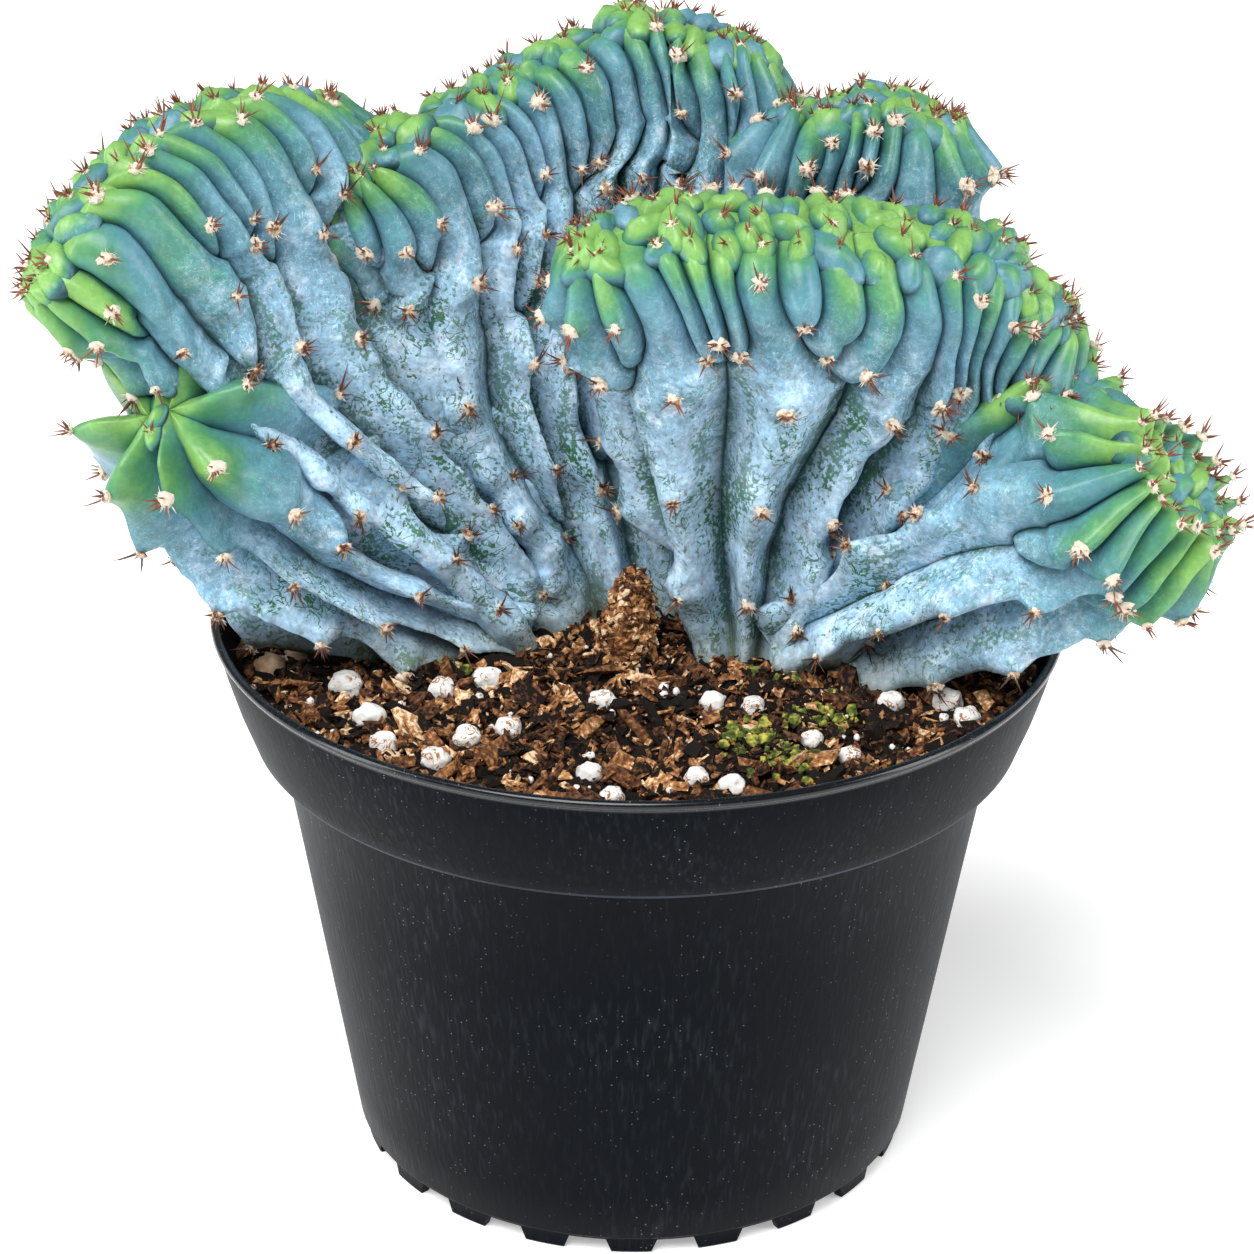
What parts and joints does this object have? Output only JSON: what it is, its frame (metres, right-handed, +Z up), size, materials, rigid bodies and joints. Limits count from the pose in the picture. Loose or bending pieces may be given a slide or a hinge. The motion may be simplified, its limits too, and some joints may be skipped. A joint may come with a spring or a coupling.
{
  "type": "potted crested cactus",
  "caption": "Crested blue candle cactus with ribbed, spiny fans and finger pups, growing in a filled black nursery pot with a footed base.",
  "frame": {"origin": "on the floor under the middle of the pot", "axes": "+Z up along the pot's axis, +X to the viewer's right, the front looks along +Y"},
  "size_m": [0.2028, 0.1518, 0.2058],
  "materials": {
    "black_nursery_plastic": "satin",
    "bark_and_grit_mix": "matte",
    "waxy_blue_green_skin": "satin",
    "white_perlite": "matte",
    "tan_pebble": "matte",
    "brown_bark": "matte"
  },
  "bodies": {
    "root": {"nursery_pot": "black_nursery_plastic", "potting_mix": "bark_and_grit_mix", "crested_cactus": "waxy_blue_green_skin", "bark_chunk": "brown_bark", "pebble_01": "tan_pebble", "pebble_02": "tan_pebble", "perlite_01": "white_perlite", "perlite_02": "white_perlite", "perlite_03": "white_perlite", "perlite_04": "white_perlite", "perlite_05": "white_perlite", "perlite_06": "white_perlite", "perlite_07": "white_perlite", "perlite_08": "white_perlite", "perlite_09": "white_perlite", "perlite_10": "white_perlite", "perlite_11": "white_perlite", "perlite_12": "white_perlite", "perlite_13": "white_perlite", "perlite_14": "white_perlite", "perlite_15": "white_perlite", "perlite_16": "white_perlite", "perlite_17": "white_perlite", "perlite_18": "white_perlite", "perlite_19": "white_perlite", "perlite_20": "white_perlite", "perlite_21": "white_perlite", "perlite_22": "white_perlite", "perlite_23": "white_perlite", "perlite_24": "white_perlite", "perlite_25": "white_perlite"}
  },
  "joints": []
}
